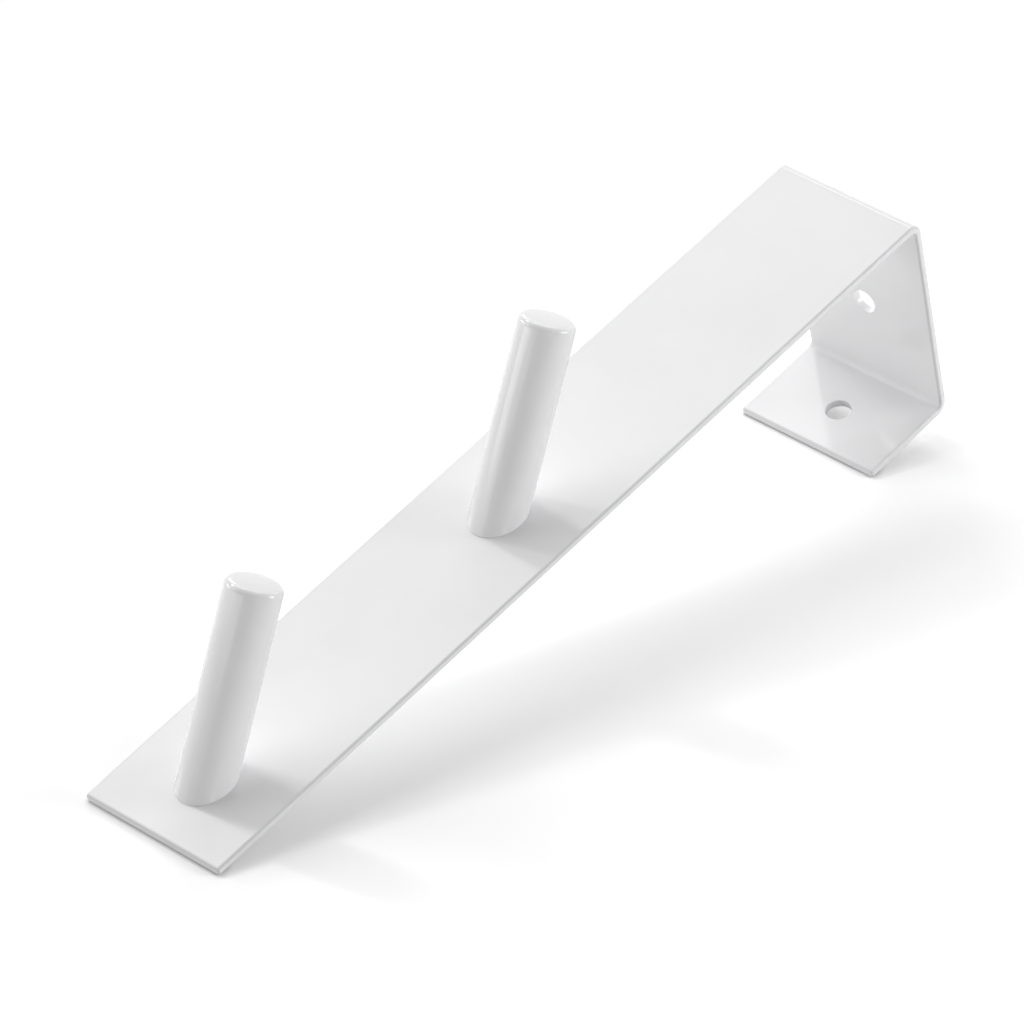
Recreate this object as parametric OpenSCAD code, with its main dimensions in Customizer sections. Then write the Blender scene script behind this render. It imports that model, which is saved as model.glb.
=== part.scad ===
// Over the door hook rack: a bent steel strap with two slanting pegs.
// It lies as it would on a table, front face up, on the free end of the strap
// and on the free end of the back flap. X runs across the strap, Y along it
// towards the bends, and Z up.

/* [Strap] */
// Width of the strap
strap_w = 30; // [24:0.5:45]
// Thickness of the strap
strap_t = 1.5; // [1:0.1:2.2]
// Length of the strap, from its free end to the top of the door
strap_l = 180; // [150:1:260]
// Gap between the strap and the back flap, for the door's thickness
door_gap = 42; // [32:0.5:50]
// Length of the back flap, from the top of the door
flap_l = 21; // [18:0.5:60]
// Inner radius of both bends
bend_r = 1; // [0.8:0.1:3]

/* [Door screw holes] */
// Diameter of the two door screw holes
door_hole_d = 4.8; // [3:0.1:6]
// Top hole, from the strap's front face
top_hole_depth = 25.5; // [10:0.5:27]
// Flap hole, from the outside of the top
flap_hole_drop = 12; // [9:0.5:14]

/* [Pegs] */
// Diameter of a peg
peg_d = 10; // [9:0.5:13]
// Length of a peg along its middle, from the strap's front face
peg_l = 35.5; // [25:0.5:45]
// Slant of a peg from square to the strap, in degrees
peg_slant = 33; // [20:1:36]
// Radius of the peg's rim
peg_rim_r = 1.2; // [0.5:0.1:2]
// Middle of the lower peg's foot, from the strap's free end
lower_peg_up = 13.5; // [11:0.5:25]
// Distance between the two pegs
peg_pitch = 72.5; // [45:0.5:100]

/* [Peg screws] */
// Diameter of a screw's thread
screw_d = 4; // [3:0.5:4]
// Length of a screw, head included
screw_l = 8; // [6:0.5:8]
// Diameter of a screw's countersunk head
screw_head_d = 8; // [7.5:0.1:8]
// Across the flats of a screw's hexagon socket
socket_af = 2.5; // [2:0.1:2.5]
// Depth of the hexagon socket
socket_depth = 1.4; // [0.8:0.1:1.6]
// Screw's middle, from the middle of the foot towards the lean
screw_shift = 1.8; // [1:0.1:2]

/* [Fits] */
// Clearance round the screw's thread and head
screw_clearance = 0.05; // [0.02:0.01:0.1]
// Depth left past the screw's end
tap_end_gap = 0.7; // [0.2:0.1:1]

/* [Hidden] */
$fn = 96;
overrun = 1;

// Outer radius of the bends, and the hook's outer depth
bend_ro = bend_r + strap_t;
hook_depth = door_gap + 2 * strap_t;
// The strap's back face lies on Z = 0 until it is leaned, so its front is at strap_t
flap_out_z = strap_t - hook_depth;
flap_in_z = flap_out_z + strap_t;
flap_end_y = strap_l - flap_l;
top_in_y = strap_l - strap_t;

// Lean that brings the strap's free end and the flap's free end to the same level
lean = atan((hook_depth - strap_t) / flap_end_y);
// Reach of the leaned strap along Y, which centres it on the origin
reach_max = (strap_l - bend_ro) * cos(lean) + (hook_depth - strap_t - bend_ro) * sin(lean) + bend_ro;
reach_min = -strap_t * sin(lean);
centre_y = (reach_max + reach_min) / 2;

upper_peg_up = lower_peg_up + peg_pitch;
head_drop = (screw_head_d - screw_d) / 2;
socket_r = socket_af / 2 / cos(180 / 6);
peg_tap_depth = screw_l - strap_t + tap_end_gap;
// Length of rod below a foot's middle, which its slanting cut needs
foot_run = peg_d / 2 * tan(peg_slant) + overrun;

// Puts a shape drawn on the flat strap into its place as it lies
module as_it_lies() {
    translate([0, -centre_y, 0]) rotate([lean, 0, 0]) children();
}

// Quarter of a bend, turned about its own centre
module quarter_bend() {
    intersection() {
        difference() {
            circle(r = bend_ro);
            circle(r = bend_r);
        }
        square(bend_ro + overrun);
    }
}

// Side outline of the bent strap, with Y across the page and Z up it
module strap_side() {
    square([strap_l - bend_ro, strap_t]);
    translate([strap_l - bend_ro, strap_t - bend_ro]) quarter_bend();
    translate([top_in_y, flap_out_z + bend_ro]) square([strap_t, hook_depth - 2 * bend_ro]);
    translate([strap_l - bend_ro, flap_out_z + bend_ro]) mirror([0, 1]) quarter_bend();
    translate([flap_end_y, flap_out_z]) square([flap_l - bend_ro, strap_t]);
}

// Countersunk form of a screw's head and its thread's start, from the strap's back
module countersink(grow) {
    cylinder(h = head_drop, r1 = screw_head_d / 2 + grow, r2 = screw_d / 2 + grow);
}

// Hole for a peg's screw, through the strap from behind
module peg_screw_hole(up) {
    translate([0, up + screw_shift, 0]) {
        countersink(screw_clearance);
        cylinder(h = strap_t + overrun, d = screw_d + 2 * screw_clearance);
        translate([0, 0, -overrun]) cylinder(h = overrun, d = screw_head_d + 2 * screw_clearance);
    }
}

// Bent strap with its door screw holes and the holes behind the pegs
module strap() {
    color("whitesmoke") as_it_lies() difference() {
        translate([-strap_w / 2, 0, 0]) rotate([90, 0, 90]) linear_extrude(strap_w) strap_side();
        peg_screw_hole(lower_peg_up);
        peg_screw_hole(upper_peg_up);
        translate([0, top_in_y - overrun, strap_t - top_hole_depth]) rotate([-90, 0, 0])
            cylinder(h = strap_t + 2 * overrun, d = door_hole_d);
        translate([0, strap_l - flap_hole_drop, flap_out_z - overrun])
            cylinder(h = strap_t + 2 * overrun, d = door_hole_d);
    }
}

// Rod with a rounded rim, along Z, long enough to be cut at the foot
module rod(below) {
    translate([0, 0, -below]) rotate_extrude() {
        square([peg_d / 2, below + peg_l - peg_rim_r]);
        square([peg_d / 2 - peg_rim_r, below + peg_l]);
        translate([peg_d / 2 - peg_rim_r, below + peg_l - peg_rim_r]) intersection() {
            circle(r = peg_rim_r);
            square(peg_rim_r);
        }
    }
}

// Slanting peg, cut flat where it stands on the strap and tapped from there
module peg(up) {
    as_it_lies() translate([0, up, strap_t]) difference() {
        rotate([-peg_slant, 0, 0]) rod(foot_run);
        translate([-peg_d, -2 * peg_d, -2 * foot_run]) cube([2 * peg_d, 4 * peg_d, 2 * foot_run]);
        translate([0, screw_shift, -strap_t]) {
            countersink(screw_clearance);
            cylinder(h = strap_t + peg_tap_depth, d = screw_d + 2 * screw_clearance);
        }
    }
}

module lower_peg() {
    color("whitesmoke") peg(lower_peg_up);
}

module upper_peg() {
    color("whitesmoke") peg(upper_peg_up);
}

// Countersunk screw with a hexagon socket, its head flush with the strap's back
module screw(up) {
    as_it_lies() translate([0, up + screw_shift, 0]) difference() {
        union() {
            countersink(0);
            translate([0, 0, head_drop]) cylinder(h = screw_l - head_drop, d = screw_d);
        }
        translate([0, 0, -overrun]) cylinder(h = socket_depth + overrun, r = socket_r, $fn = 6);
    }
}

module lower_peg_screw() {
    color("silver") screw(lower_peg_up);
}

module upper_peg_screw() {
    color("silver") screw(upper_peg_up);
}

strap();
lower_peg();
upper_peg();
lower_peg_screw();
upper_peg_screw();
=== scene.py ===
import math

import bmesh
import bpy
from mathutils import Matrix, Vector


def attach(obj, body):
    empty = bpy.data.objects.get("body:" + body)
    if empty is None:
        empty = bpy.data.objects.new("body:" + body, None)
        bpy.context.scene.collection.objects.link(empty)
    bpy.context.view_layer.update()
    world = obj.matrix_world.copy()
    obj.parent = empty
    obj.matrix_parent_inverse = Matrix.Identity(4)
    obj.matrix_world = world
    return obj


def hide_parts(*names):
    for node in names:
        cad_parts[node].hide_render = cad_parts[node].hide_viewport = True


# Over the door hook rack: a bent steel strap with two slanting pegs, gloss white.
# It is shaped flat, with its back face on Z = 0 and its free end at Y = 0, and then
# leaned as it lies on the table. Sizes are in metres, and MM stands for a millimetre.

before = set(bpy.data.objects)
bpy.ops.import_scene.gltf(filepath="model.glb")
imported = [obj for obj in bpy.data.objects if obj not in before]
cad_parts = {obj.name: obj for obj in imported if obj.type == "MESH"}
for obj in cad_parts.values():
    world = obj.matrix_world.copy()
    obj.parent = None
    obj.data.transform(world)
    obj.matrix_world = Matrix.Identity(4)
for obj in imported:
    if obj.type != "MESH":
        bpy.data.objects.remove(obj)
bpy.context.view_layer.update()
MM = 0.001

# Sizes of the rack
strap_w = 30 * MM
strap_t = 1.5 * MM
strap_l = 180 * MM
door_gap = 42 * MM
flap_l = 21 * MM
bend_r = 1 * MM
door_hole_d = 4.8 * MM
top_hole_depth = 25.5 * MM
flap_hole_drop = 12 * MM
peg_d = 10 * MM
peg_l = 35.5 * MM
peg_slant = math.radians(33)
lower_peg_up = 13.5 * MM
peg_pitch = 72.5 * MM
screw_d = 4 * MM
screw_l = 8 * MM
screw_head_d = 8 * MM
socket_sides = 6
socket_af = 2.5 * MM
socket_depth = 1.4 * MM
screw_shift = 1.8 * MM
screw_clearance = 0.05 * MM
tap_end_gap = 0.7 * MM

# Sizes that only the dressed pieces have
arris_r = 0.52 * MM
hole_arris_r = 0.14 * MM
foot_arris_r = 0.25 * MM
rim_w = 1.0 * MM
peg_crown = 0.3 * MM
head_flat = 0.15 * MM
screw_point_h = 0.4 * MM
screw_point_r = 1.6 * MM
screw_arris_r = 0.07 * MM

# Rings of a peg's crown, as shares of the peg's radius
crown_ring_shares = (0.7, 0.58, 0.46, 0.34, 0.22, 0.1, 0.02)

# How finely curves are cut up
bend_steps = 14
arris_steps = 8
hole_arris_steps = 3
screw_arris_steps = 2
rim_steps = 12
foot_steps = 5
bar_sides = 96
peg_sides = 144

# Help for the shaping: how far cutters run past a face, and how near counts as the same place
overrun = 1 * MM
near = 0.01 * MM
same_point = 0.001 * MM
# The turn past which an arris is rounded, the turn below which shading is smooth, and the flat faces' weight
sharp_angle = math.radians(30)
smooth_angle = math.radians(35)
flat_face_weight = 90

# Sizes that follow from them
bend_ro = bend_r + strap_t
hook_depth = door_gap + 2 * strap_t
flap_out_z = strap_t - hook_depth
flap_end_y = strap_l - flap_l
plate_l = strap_l - bend_ro
lean = math.atan((hook_depth - strap_t) / flap_end_y)
reach_max = plate_l * math.cos(lean) + (hook_depth - strap_t - bend_ro) * math.sin(lean) + bend_ro
centre_y = (reach_max - strap_t * math.sin(lean)) / 2
arris_zone = 1.1 * arris_r
# How far the rounding of the lowest arrises lifts them, which is where the paper is laid
arris_lift = arris_r * (math.sin(lean) + math.cos(lean) - 1)
cutter_l = 4 * strap_t
peg_ups = {"lower_peg": lower_peg_up, "upper_peg": lower_peg_up + peg_pitch}
head_drop = (screw_head_d - screw_d) / 2
thread_hole_r = screw_d / 2 + screw_clearance
head_hole_r = screw_head_d / 2 + screw_clearance
socket_r = socket_af / 2 / math.cos(math.pi / socket_sides)
as_it_lies = Matrix.Translation((0, -centre_y, 0)) @ Matrix.Rotation(lean, 4, "X")


# Working by hand

def only(piece):
    """Makes a piece the only one selected, and the active one."""
    bpy.ops.object.select_all(action="DESELECT")
    piece.select_set(True)
    bpy.context.view_layer.objects.active = piece


def settle(piece, name=None):
    """Moves a piece's place, turn and scale into its mesh."""
    only(piece)
    bpy.ops.object.transform_apply(location=True, rotation=True, scale=True)
    if name:
        piece.name = name
        piece.data.name = name
    return piece


def pick(piece, kind, test):
    """Goes into edit mode with only those faces or edges selected that pass the test."""
    only(piece)
    bpy.ops.object.mode_set(mode="EDIT")
    bpy.ops.mesh.select_mode(type="FACE" if kind == "faces" else "EDGE")
    bpy.ops.mesh.select_all(action="DESELECT")
    shape = bmesh.from_edit_mesh(piece.data)
    for part in getattr(shape, kind):
        if test(part):
            part.select_set(True)
    bmesh.update_edit_mesh(piece.data)


def leave():
    """Comes back from edit mode."""
    bpy.ops.object.mode_set(mode="OBJECT")


def finish_with(piece, kind, **settings):
    """Adds a modifier to a piece and applies it."""
    only(piece)
    modifier = piece.modifiers.new(kind.lower(), kind)
    for key, value in settings.items():
        setattr(modifier, key, value)
    bpy.ops.object.modifier_apply(modifier=modifier.name)


def cut_away(piece, cutter):
    """Cuts one shape out of a piece and throws the shape away."""
    settle(cutter)
    finish_with(piece, "BOOLEAN", operation="DIFFERENCE", solver="EXACT", object=cutter)
    bpy.data.objects.remove(cutter)


def round_bar(radius, length, middle, turn=(0, 0, 0), sides=bar_sides, end_radius=None):
    """Adds a plain bar or cone along Z, with its middle at a place, to start from or to cut with."""
    bpy.ops.object.select_all(action="DESELECT")
    bpy.ops.mesh.primitive_cone_add(
        vertices=sides, radius1=radius, radius2=radius if end_radius is None else end_radius,
        depth=length, location=middle, rotation=turn, end_fill_type="NGON")
    return bpy.context.object


def round_arrises(piece, width, steps):
    """Rounds every sharp arris of a piece."""
    finish_with(piece, "BEVEL", width=width, segments=steps, limit_method="ANGLE",
                angle_limit=sharp_angle, miter_outer="MITER_ARC", use_clamp_overlap=True)


def coat(piece, material):
    """Gives a piece one material all over."""
    piece.data.materials.clear()
    piece.data.materials.append(material)


def smooth(piece):
    """Shades a piece smooth, with its large faces kept flat."""
    only(piece)
    bpy.ops.object.shade_smooth_by_angle(angle=smooth_angle)
    finish_with(piece, "WEIGHTED_NORMAL", weight=flat_face_weight, keep_sharp=True)


def middle_at(face, axis, value):
    """Tells whether a face's middle lies at a place along an axis."""
    return abs(face.calc_center_median()[axis] - value) < near


def level_at(edge, height):
    """Tells whether an edge lies level at a height."""
    return all(abs(vertex.co.z - height) < near for vertex in edge.verts)


def join_up():
    """Joins points that lie together, turns every face outward and comes back from edit mode."""
    bpy.ops.mesh.select_all(action="SELECT")
    bpy.ops.mesh.remove_doubles(threshold=same_point)
    bpy.ops.mesh.normals_make_consistent(inside=False)
    leave()


def head_cutter(up):
    """Makes the cone that leaves room for a screw's countersunk head."""
    return round_bar(head_hole_r, head_drop, (0, up + screw_shift, head_drop / 2), end_radius=thread_hole_r)


# Strap

def mark_arris_shade(strap):
    """Writes into each point of the strap how near it is to the middle of an outer arris, from 0 to 1, to
    set where the coat gets painted shade.
    """
    arris_shade_marks = strap.data.attributes.new("arris", "FLOAT", "POINT")
    for vertex, arris_shade_mark in zip(strap.data.vertices, arris_shade_marks.data):
        x, y, z = vertex.co
        end_y = 0 if z > flap_out_z / 2 else flap_end_y
        near_side = abs(x) > strap_w / 2 - arris_zone
        near_end = y < end_y + arris_zone
        outward = max(abs(vertex.normal.x) if near_side else 0, abs(vertex.normal.y) if near_end else 0)
        # The square of a sine times the square of its cosine, which is highest, at a quarter, halfway round
        arris_shade_mark.value = 4 * outward ** 2 * (1 - outward ** 2)


def fold_strap():
    """Folds the strap from one flat plate, as in a press brake."""
    bpy.ops.object.select_all(action="DESELECT")
    bpy.ops.mesh.primitive_cube_add(size=1, location=(0, plate_l / 2, strap_t / 2),
                                    scale=(strap_w, plate_l, strap_t))
    strap = settle(bpy.context.object, "strap_plate")
    pick(strap, "faces", lambda face: middle_at(face, 1, plate_l))
    bpy.ops.mesh.spin(steps=bend_steps, angle=math.pi / 2, axis=(1, 0, 0),
                      center=(0, plate_l, strap_t - bend_ro))
    leave()
    pick(strap, "faces", lambda face: middle_at(face, 2, strap_t - bend_ro))
    bpy.ops.mesh.extrude_region_move(TRANSFORM_OT_translate={"value": (0, 0, 2 * bend_ro - hook_depth)})
    bpy.ops.mesh.spin(steps=bend_steps, angle=math.pi / 2, axis=(1, 0, 0),
                      center=(0, plate_l, flap_out_z + bend_ro))
    bpy.ops.mesh.extrude_region_move(TRANSFORM_OT_translate={"value": (0, bend_ro - flap_l, 0)})
    join_up()
    round_arrises(strap, arris_r, arris_steps)
    for up in peg_ups.values():
        cut_away(strap, round_bar(thread_hole_r, cutter_l, (0, up + screw_shift, 0)))
        cut_away(strap, head_cutter(up))
    hole_z = strap_t - top_hole_depth
    cut_away(strap, round_bar(door_hole_d / 2, cutter_l, (0, strap_l, hole_z), (math.pi / 2, 0, 0)))
    cut_away(strap, round_bar(door_hole_d / 2, cutter_l, (0, strap_l - flap_hole_drop, flap_out_z)))
    round_arrises(strap, hole_arris_r, hole_arris_steps)
    mark_arris_shade(strap)
    strap.matrix_world = as_it_lies
    settle(strap)
    smooth(strap)
    return strap


# Pegs

def turn_peg(name, up):
    """Turns a peg from round bar: rounded rim, faintly crowned end, foot sawn to the slant."""
    below = peg_d / 2 * math.tan(peg_slant) + overrun
    top = peg_l - peg_crown / 2
    rod = round_bar(peg_d / 2, top + below, (0, 0, (top - below) / 2), sides=peg_sides)
    peg = settle(rod, name + "_rod")
    pick(peg, "faces", lambda face: middle_at(face, 2, top))
    outer = 1
    for inner in crown_ring_shares:
        bpy.ops.mesh.inset(thickness=(outer - inner) * peg_d / 2, depth=0)
        bpy.ops.transform.translate(value=(0, 0, peg_crown * (outer ** 2 - inner ** 2)))
        outer = inner
    leave()
    pick(peg, "edges", lambda edge: level_at(edge, top))
    bpy.ops.mesh.bevel(offset=rim_w, segments=rim_steps, profile=0.5, affect="EDGES")
    leave()
    peg.matrix_world = Matrix.Translation((0, up, strap_t)) @ Matrix.Rotation(-peg_slant, 4, "X")
    settle(peg)
    pick(peg, "faces", lambda face: True)
    bpy.ops.mesh.bisect(plane_co=(0, 0, strap_t), plane_no=(0, 0, 1), use_fill=True, clear_inner=True)
    join_up()
    pick(peg, "edges", lambda edge: level_at(edge, strap_t))
    bpy.ops.mesh.bevel(offset=foot_arris_r, segments=foot_steps, profile=0.5, affect="EDGES")
    leave()
    depth = screw_l + tap_end_gap
    cut_away(peg, round_bar(thread_hole_r, depth, (0, up + screw_shift, depth / 2)))
    cut_away(peg, head_cutter(up))
    peg.matrix_world = as_it_lies
    settle(peg)
    smooth(peg)
    return peg


# Screws

def make_screw(name, up):
    """Makes a countersunk screw from a disc of its head: cone, shank, chamfered end, hexagon socket."""
    at_y = up + screw_shift
    radius = screw_head_d / 2 - head_flat
    screw = settle(round_bar(radius, head_flat, (0, at_y, head_flat / 2)), name + "_steel")
    pick(screw, "faces", lambda face: middle_at(face, 2, head_flat))
    heights = (head_drop, screw_l - screw_point_h, screw_l)
    radii = (screw_d / 2, screw_d / 2, screw_point_r)
    at_z = head_flat
    for height, new_radius in zip(heights, radii):
        bpy.ops.mesh.extrude_region_move(TRANSFORM_OT_translate={"value": (0, 0, height - at_z)})
        share = new_radius / radius
        bpy.ops.transform.resize(value=(share, share, 1), center_override=(0, at_y, height))
        at_z = height
        radius = new_radius
    leave()
    cut_away(screw, round_bar(socket_r, 2 * socket_depth, (0, at_y, 0), sides=socket_sides))
    screw.matrix_world = as_it_lies
    settle(screw)
    round_arrises(screw, screw_arris_r, screw_arris_steps)
    smooth(screw)
    return screw


# Materials

# Widths and depths of the patterns in the surfaces
haze_patch_w = 16.667 * MM
peel_w = 2.381 * MM
peel_depth = 0.004 * MM
grain_w = 1.111 * MM
grain_depth = 0.01 * MM
# How far the coat is greyed at the middle of an outer arris: painted shade for the dark line along the
# edges, and partly the powder thinning there
arris_shade_share = 0.22
# Share of its light that the paper sends to the camera, in the open, and against the steel, where the drop
# below the paper's own grey is painted contact shade
paper_open = 1.265
paper_painted_contact_shade = 0.7
# How far from the steel the painted contact shade on the paper reaches
painted_shade_reach = 0.9 * MM


def linear(hex_colour):
    """Turns an sRGB hex colour into the linear colour that a shader takes."""
    shares = [int(hex_colour[place:place + 2], 16) / 255 for place in (1, 3, 5)]
    return tuple(s / 12.92 if s <= 0.04045 else ((s + 0.055) / 1.055) ** 2.4 for s in shares) + (1.0,)


def grey(level):
    """Gives a grey in linear light, where 1 is white."""
    return (level, level, level, 1.0)


def add_node(tree, kind, settings=None, links=None):
    """Adds one node, sets its values, and links its inputs to the outputs given for them."""
    node = tree.nodes.new(kind)
    for key, value in (settings or {}).items():
        if isinstance(key, int) or key in node.inputs:
            node.inputs[key].default_value = value
        else:
            setattr(node, key, value)
    for key, source in (links or {}).items():
        tree.links.new(source, node.inputs[key])
    return node


def new_material(name):
    """Starts an empty material and gives back it, its tree and its output's surface socket."""
    material = bpy.data.materials.new(name)
    material.use_nodes = True
    material.node_tree.nodes.clear()
    output = material.node_tree.nodes.new("ShaderNodeOutputMaterial")
    return material, material.node_tree, output.inputs["Surface"]


def gloss_powder_coat():
    """Polyester powder, sprayed and baked on steel: a thick white gloss skin with faint orange peel, and
    painted shade greying its outer arrises.
    """
    material, tree, surface = new_material("gloss_white_powder_coat")
    place = add_node(tree, "ShaderNodeTexCoord")
    cloud = add_node(tree, "ShaderNodeTexNoise", {"Scale": 1 / haze_patch_w, "Detail": 2.0},
                     {"Vector": place.outputs["Object"]})
    tint = add_node(tree, "ShaderNodeValToRGB", links={"Fac": cloud.outputs["Fac"]})
    tint.color_ramp.elements[0].position = 0.35
    tint.color_ramp.elements[0].color = linear("#EFEFF0")
    tint.color_ramp.elements[1].position = 0.65
    tint.color_ramp.elements[1].color = linear("#F2F2F3")
    peel = add_node(tree, "ShaderNodeTexNoise", {"Scale": 1 / peel_w, "Detail": 1.5},
                    {"Vector": place.outputs["Object"]})
    bump = add_node(tree, "ShaderNodeBump", {"Strength": 1.0, "Distance": peel_depth},
                    {"Height": peel.outputs["Fac"]})
    haze = add_node(tree, "ShaderNodeMapRange", {"To Min": 0.10, "To Max": 0.15},
                    {"Value": cloud.outputs["Fac"]})
    # Painted shade: the coat is greyed towards the steel's grey along the outer arrises, for the dark line
    # the light leaves there and partly for the powder thinning at the edge
    arris = add_node(tree, "ShaderNodeAttribute", {"attribute_name": "arris"})
    arris_shade = add_node(tree, "ShaderNodeMapRange", {"To Max": arris_shade_share},
                     {"Value": arris.outputs["Fac"]})
    coat_with_arris_shade = add_node(tree, "ShaderNodeMix", {"data_type": "RGBA", 7: linear("#6E7073")},
                    {0: arris_shade.outputs["Result"], 6: tint.outputs["Color"]})
    gloss = add_node(tree, "ShaderNodeBsdfPrincipled", {"IOR": 1.5},
                     {"Base Color": coat_with_arris_shade.outputs[2], "Roughness": haze.outputs["Result"],
                      "Normal": bump.outputs["Normal"]})
    tree.links.new(gloss.outputs["BSDF"], surface)
    return material


def bright_zinc():
    """Bright zinc, plated on turned steel: a cool silver sheen, broken up a little by its grain."""
    material, tree, surface = new_material("bright_zinc_plate")
    place = add_node(tree, "ShaderNodeTexCoord")
    # The real grain is too fine to show, so it is drawn about a millimetre wide
    cloud = add_node(tree, "ShaderNodeTexNoise", {"Scale": 1 / grain_w, "Detail": 3.0},
                     {"Vector": place.outputs["Object"]})
    tint = add_node(tree, "ShaderNodeValToRGB", links={"Fac": cloud.outputs["Fac"]})
    tint.color_ramp.elements[0].color = linear("#BFC3C8")
    tint.color_ramp.elements[1].color = linear("#D6D8DA")
    haze = add_node(tree, "ShaderNodeMapRange", {"To Min": 0.22, "To Max": 0.38},
                    {"Value": cloud.outputs["Fac"]})
    bump = add_node(tree, "ShaderNodeBump", {"Strength": 1.0, "Distance": grain_depth},
                    {"Height": cloud.outputs["Fac"]})
    plate = add_node(tree, "ShaderNodeBsdfPrincipled", {"Metallic": 1.0},
                     {"Base Color": tint.outputs["Color"], "Roughness": haze.outputs["Result"],
                      "Normal": bump.outputs["Normal"]})
    tree.links.new(plate.outputs["BSDF"], surface)
    return material


def straight_ray(tree):
    """Gives 1 on a ray from the camera, or one that gloss or glass sends on, and 0 on the rest."""
    path = add_node(tree, "ShaderNodeLightPath")
    gloss = add_node(tree, "ShaderNodeMath", {"operation": "MAXIMUM"},
                     {0: path.outputs["Is Camera Ray"], 1: path.outputs["Is Glossy Ray"]})
    both = add_node(tree, "ShaderNodeMath", {"operation": "MAXIMUM"},
                    {0: gloss.outputs[0], 1: path.outputs["Is Transmission Ray"]})
    return both.outputs[0]


def white_paper():
    """Matt white background paper, a little over-lit to the camera so that only shadows show on it, with
    painted shade where it meets the steel.
    """
    material, tree, surface = new_material("matt_white_paper")
    # Painted contact shade: within a millimetre of the steel the paper's colour to the camera falls from
    # over-lit to below its own grey, so a thin dark line of contact shows
    contact_shade_ao = add_node(tree, "ShaderNodeAmbientOcclusion", {"samples": 4, "Distance": painted_shade_reach})
    seen = add_node(tree, "ShaderNodeMix",
                    {"data_type": "RGBA", 6: grey(paper_painted_contact_shade), 7: grey(paper_open)},
                    {0: contact_shade_ao.outputs["AO"]})
    tint = add_node(tree, "ShaderNodeMix", {"data_type": "RGBA", 6: linear("#EDEDED")},
                    {0: straight_ray(tree), 7: seen.outputs[2]})
    paper = add_node(tree, "ShaderNodeBsdfDiffuse", links={"Color": tint.outputs[2]})
    tree.links.new(paper.outputs[0], surface)
    return material


# Camera, at the photograph's angle

camera_place = (661.45 * MM, -772.80 * MM, 688.35 * MM)
camera_heading = math.radians(40.785)
camera_fall = math.radians(33.308)
camera_roll = math.radians(2.151)
camera_near = 10 * MM
# Width of the film and length of the lens, which the camera takes in millimetres
film_w = 36
lens_length = 254.19


def set_camera():
    """Adds the camera and makes it the scene's own."""
    turn = (Matrix.Rotation(camera_heading, 4, "Z") @ Matrix.Rotation(math.pi / 2 - camera_fall, 4, "X")
            @ Matrix.Rotation(camera_roll, 4, "Z"))
    bpy.ops.object.camera_add(location=camera_place, rotation=turn.to_euler())
    camera = bpy.context.object
    camera.data.sensor_width = film_w
    camera.data.lens = lens_length
    camera.data.clip_start = camera_near
    bpy.context.scene.camera = camera


# Studio

def add_lamp(name, heading, height, width, length, roll, glow):
    """Hangs a soft box at a heading from +X and a height over the table, in degrees, aimed at the rack."""
    turn, tilt = math.radians(heading), math.radians(height)
    toward = Vector((math.cos(turn) * math.cos(tilt), math.sin(turn) * math.cos(tilt), math.sin(tilt)))
    facing = toward.to_track_quat("Z", "Y").to_matrix() @ Matrix.Rotation(math.radians(roll), 3, "Z")
    bpy.ops.object.light_add(type="AREA", location=toward * lamp_distance + Vector((0, 0, aim_height)),
                             rotation=facing.to_euler())
    lamp = bpy.context.object
    lamp.name = name
    lamp.data.shape = "RECTANGLE"
    lamp.data.size = width
    lamp.data.size_y = length
    lamp.data.energy = glow * math.pi * width * length
    lamp.visible_camera = False


lamp_distance = 1200 * MM
aim_height = 25 * MM
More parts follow.
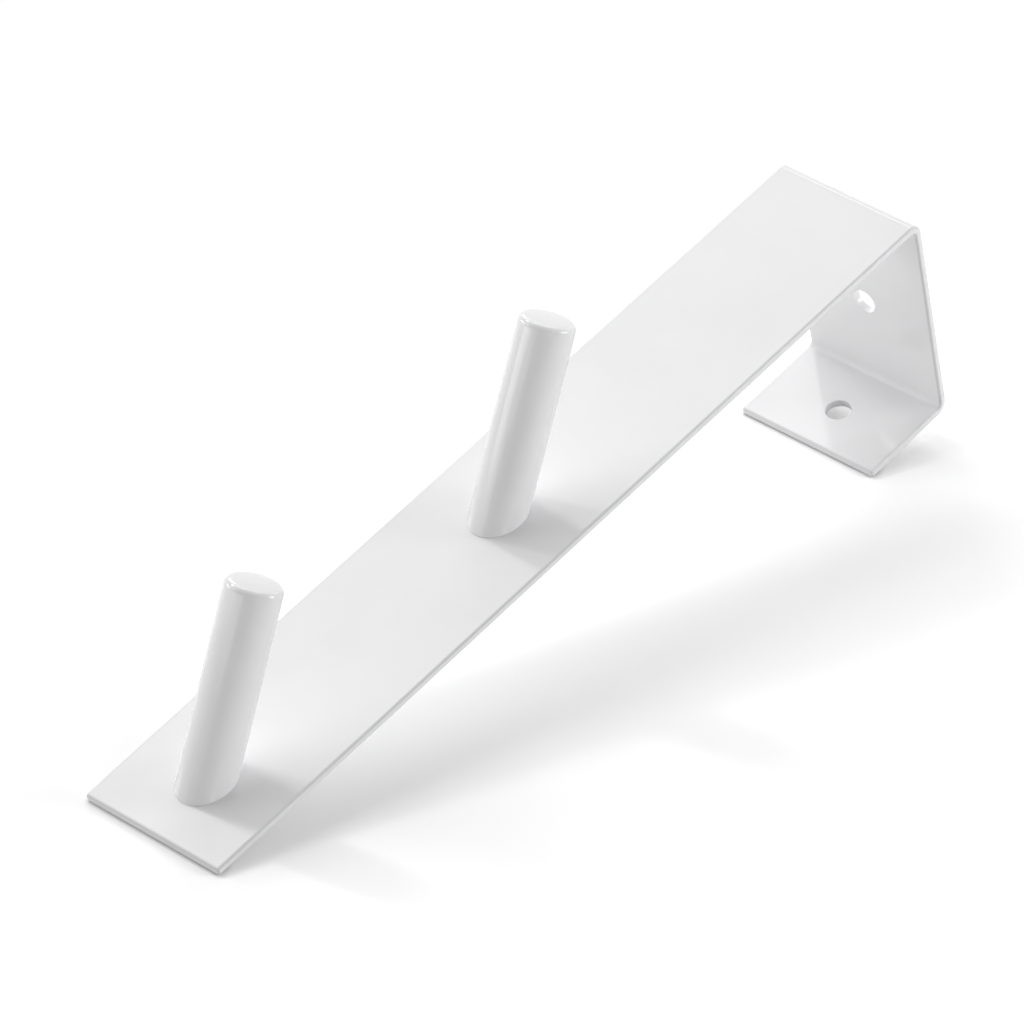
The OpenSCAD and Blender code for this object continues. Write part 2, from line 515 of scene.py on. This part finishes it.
# Name, heading, height, width, length, roll, and how bright its face is, where 1 is white
lamps = (
    ("strip_box", 176.5, 45, 0.07, 0.22, 24, 31.0),
    ("key_box", -150, 46, 0.30, 0.40, 0, 1.4),
    ("key_top_box", 178, 58, 0.30, 0.25, 0, 0.9),
    ("top_left_box", 158, 56, 0.45, 0.50, 0, 2.2),
    ("front_left_box", -145, 32, 0.60, 0.40, 0, 1.7),
    ("left_low_box", -160, 12, 0.60, 0.40, 0, 4.5),
    ("back_left_high_box", 120, 42, 0.45, 0.45, 0, 2.8),
    ("back_left_box", 145, 25, 0.50, 0.50, 0, 2.6),
    ("back_box", 90, 25, 0.50, 0.50, 0, 1.2),
    ("right_box", 39, 22, 0.50, 0.50, 0, 6.6),
    ("right_high_box", 0, 45, 0.50, 0.40, 0, 0.9),
    ("right_low_box", -32, 3, 0.60, 0.14, 0, 4.9),
    ("low_left_card", -112, -4, 1.28, 0.24, 0, 1.4),
    ("low_left_bright_card", -127, -4, 0.60, 0.24, 0, 1.5),
)
# How bright the room is to the rack and the paper, while the camera sees it plain white
room_glow = 0.26
# Edges of the table that the paper lies on: left, right, front and back
table = (-205 * MM, 1200 * MM, -450 * MM, 1200 * MM)


def set_studio():
    """Lays the paper on its table, hangs the lamps and fills the room."""
    left, right, front, rear = table
    bpy.ops.object.select_all(action="DESELECT")
    bpy.ops.mesh.primitive_plane_add(size=1, location=((left + right) / 2, (front + rear) / 2, arris_lift))
    bpy.ops.transform.resize(value=(right - left, rear - front, 1))
    floor = settle(bpy.context.object, "studio_floor")
    coat(floor, white_paper())
    for lamp in lamps:
        add_lamp(*lamp)
    world = bpy.data.worlds.new("studio_room")
    bpy.context.scene.world = world
    world.use_nodes = True
    tree = world.node_tree
    tree.nodes.clear()
    room = add_node(tree, "ShaderNodeBackground", {"Color": grey(1), "Strength": room_glow})
    behind = add_node(tree, "ShaderNodeBackground", {"Color": grey(1), "Strength": 1.0})
    seen = add_node(tree, "ShaderNodeMixShader",
                    links={0: straight_ray(tree), 1: room.outputs[0], 2: behind.outputs[0]})
    add_node(tree, "ShaderNodeOutputWorld", links={"Surface": seen.outputs[0]})


# Putting it together

set_camera()
set_studio()
bpy.context.scene.view_settings.view_transform = "Standard"

white_coat = gloss_powder_coat()
zinc = bright_zinc()

strap = fold_strap()
coat(strap, white_coat)
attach(strap, "root")
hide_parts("strap")

for node, up in peg_ups.items():
    peg = turn_peg(node, up)
    coat(peg, white_coat)
    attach(peg, "root")
    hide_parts(node)
    screw = make_screw(node + "_screw", up)
    coat(screw, zinc)
    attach(screw, "root")
    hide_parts(node + "_screw")
